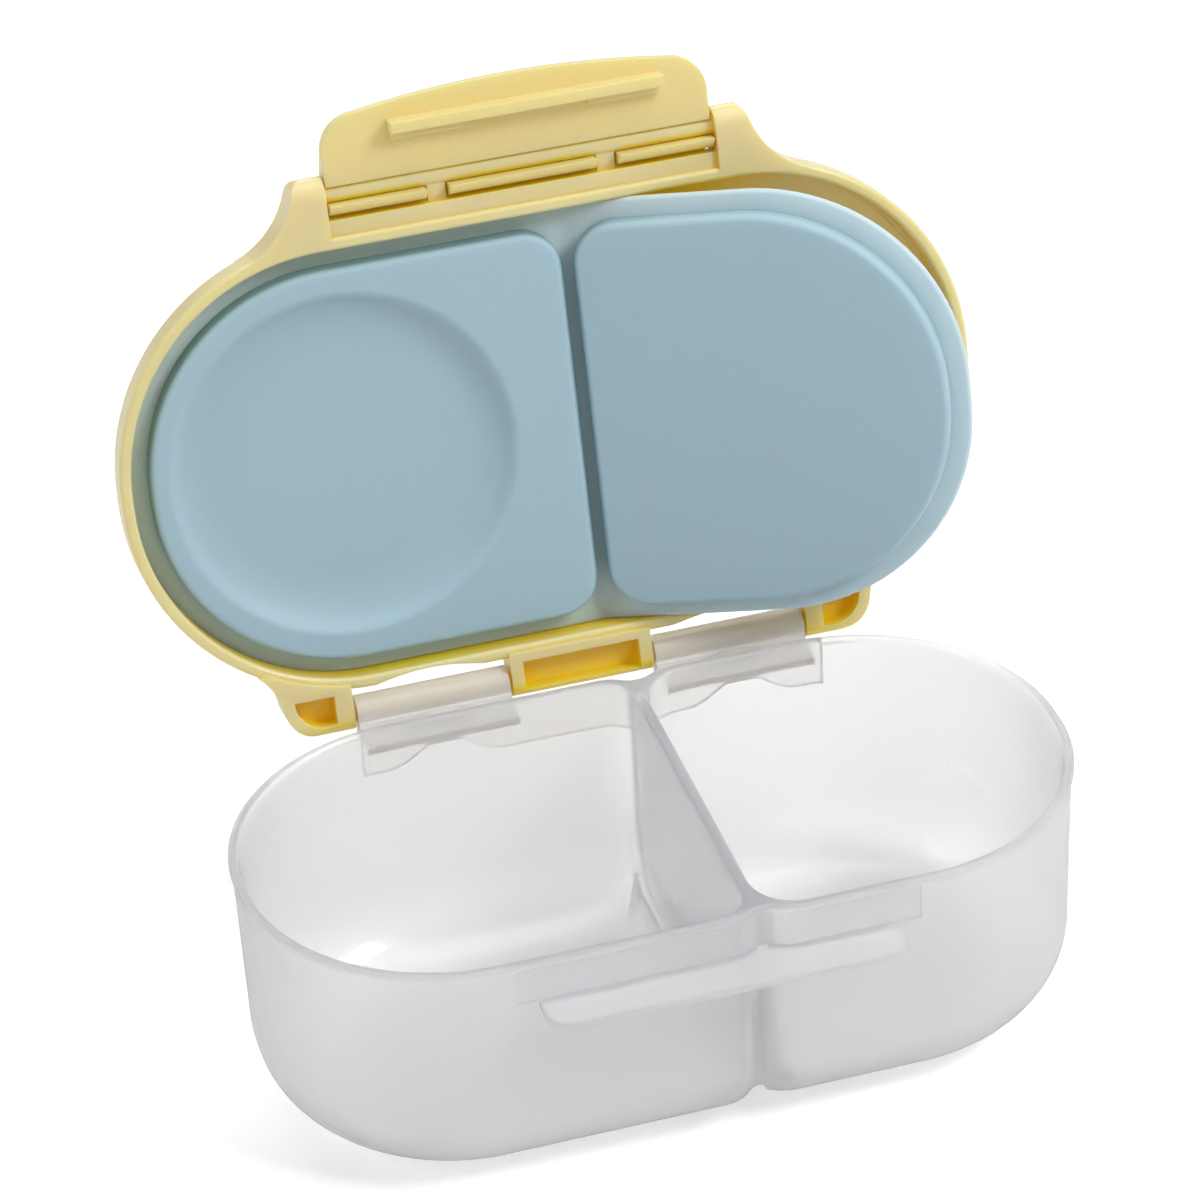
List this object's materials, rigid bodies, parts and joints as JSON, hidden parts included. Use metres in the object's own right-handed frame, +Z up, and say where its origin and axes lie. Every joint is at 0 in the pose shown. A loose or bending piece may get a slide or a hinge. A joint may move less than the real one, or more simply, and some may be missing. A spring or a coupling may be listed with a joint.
{
  "type": "two-compartment snack container",
  "caption": "Open snack container: rounded tub with a dividing wall and two compartments, hinged lid lined with a soft two-pad seal, and a flap latch on the lid's front edge.",
  "frame": {"origin": "on the ground, under the middle of the open container's outline", "axes": "+X along the container's length, +Y from the latch side of the tub to its hinge side, +Z up"},
  "size_m": [0.1882, 0.1426, 0.1863],
  "materials": {
    "tub": "frosted clear polypropylene, softly shining",
    "lid": "pale yellow polypropylene, satin",
    "latch": "pale yellow polypropylene, satin",
    "seal": "light blue silicone, matt satin"
  },
  "bodies": {
    "tub": {"tub": "tub"},
    "lid": {"lid": "lid", "seal": "seal"},
    "latch": {"latch": "latch"},
    "seal_end": {"seal_end": "seal"}
  },
  "joints": [
    {"name": "lid_hinge", "type": "hinge", "parent": "tub", "child": "lid", "pos_m": [0, 0.03932, 0.0555], "axis": [1, 0, 0], "range_deg": [0, 103]},
    {"name": "latch_hinge", "type": "hinge", "parent": "lid", "child": "latch", "pos_m": [0, 0.0666, 0.16702], "axis": [1, 0, 0], "range_deg": [0, 90]},
    {"name": "seal_flex", "type": "hinge", "parent": "lid", "child": "seal_end", "pos_m": [0.0083, 0.05464, 0.10944], "axis": [0, 0.225, 0.9744], "range_deg": [0, 23.6]}
  ],
  "couplings": [
    {"joint": "seal_flex", "follows": "lid_hinge", "ratio": 0.22815}
  ]
}
